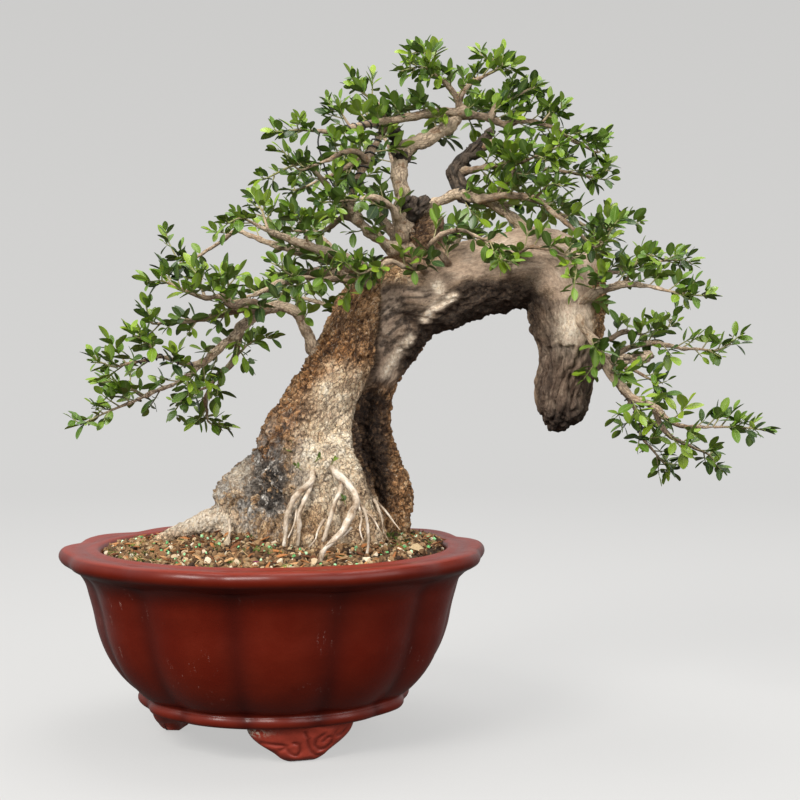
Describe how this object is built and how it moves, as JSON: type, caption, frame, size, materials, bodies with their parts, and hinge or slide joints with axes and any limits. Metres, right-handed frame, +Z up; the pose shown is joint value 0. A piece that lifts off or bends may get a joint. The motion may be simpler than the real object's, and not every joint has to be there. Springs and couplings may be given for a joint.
{
  "type": "olive bonsai",
  "caption": "Olive bonsai with a thick arched trunk, bare surface roots and spreading leafy branches, in a lobed red-brown clay pot on cloud-shaped feet.",
  "frame": {"origin": "on the ground under the middle of the whole plant's footprint, left to right and front to back", "axes": "+Z up, +X to the viewer's right of the front view, towards which the trunk arches, -Y towards the viewer"},
  "size_m": [0.6901, 0.4194, 0.693],
  "materials": {
    "clay": "satin",
    "bark": "matte",
    "earth": "matte",
    "leaf": "satin",
    "mesh_plastic": "matte"
  },
  "bodies": {
    "root": {"drain_mesh": "mesh_plastic", "pot": "clay", "soil": "earth", "spray_arch_back_right_tip": "leaf", "spray_arch_back_tip": "leaf", "spray_arch_front_left_tip": "leaf", "spray_arch_front_right_tip": "leaf", "spray_arch_front_tip": "leaf", "spray_bough_tip": "leaf", "spray_broken_twig": "leaf", "spray_cascade_in_tip": "leaf", "spray_cascade_low_tip": "leaf", "spray_cascade_tip": "leaf", "spray_crown_left_mid": "leaf", "spray_crown_left_peak": "leaf", "spray_crown_left_tip": "leaf", "spray_crown_right_mid": "leaf", "spray_crown_right_peak": "leaf", "spray_crown_right_tip": "leaf", "spray_crown_right_top": "leaf", "spray_crown_top_mid": "leaf", "spray_crown_top_tip": "leaf", "spray_drop_tip": "leaf", "spray_fork_tip": "leaf", "spray_fork_top": "leaf", "spray_hang_left": "leaf", "spray_hook_side": "leaf", "spray_hook_tip": "leaf", "spray_hub_back_tip": "leaf", "spray_hub_left_tip": "leaf", "spray_inner_back_tip": "leaf", "spray_inner_left_tip": "leaf", "spray_leader_back_right_tip": "leaf", "spray_leader_back_tip": "leaf", "spray_left_back_tip": "leaf", "spray_left_drop_tip": "leaf", "spray_left_front_tip": "leaf", "spray_left_lone_tip": "leaf", "spray_left_upper_mid": "leaf", "spray_left_upper_tip": "leaf", "spray_left_upper_top": "leaf", "spray_low_tip": "leaf", "spray_low_tip_top": "leaf", "spray_right_back_tip": "leaf", "spray_right_long_mid": "leaf", "spray_right_long_tip": "leaf", "spray_right_mid_tip": "leaf", "spray_right_shelf_tip": "leaf", "spray_right_shelf_top": "leaf", "spray_right_upper_tip": "leaf", "spray_shelf_back_tip": "leaf", "spray_shelf_high_in": "leaf", "spray_shelf_high_mid": "leaf", "spray_shelf_high_tip": "leaf", "spray_shelf_tip": "leaf", "spray_shoulder_tip": "leaf", "spray_thin_tip": "leaf", "spray_trunk_back_low_tip": "leaf", "spray_trunk_back_tip": "leaf", "trunk_and_branches": "bark"}
  },
  "joints": []
}
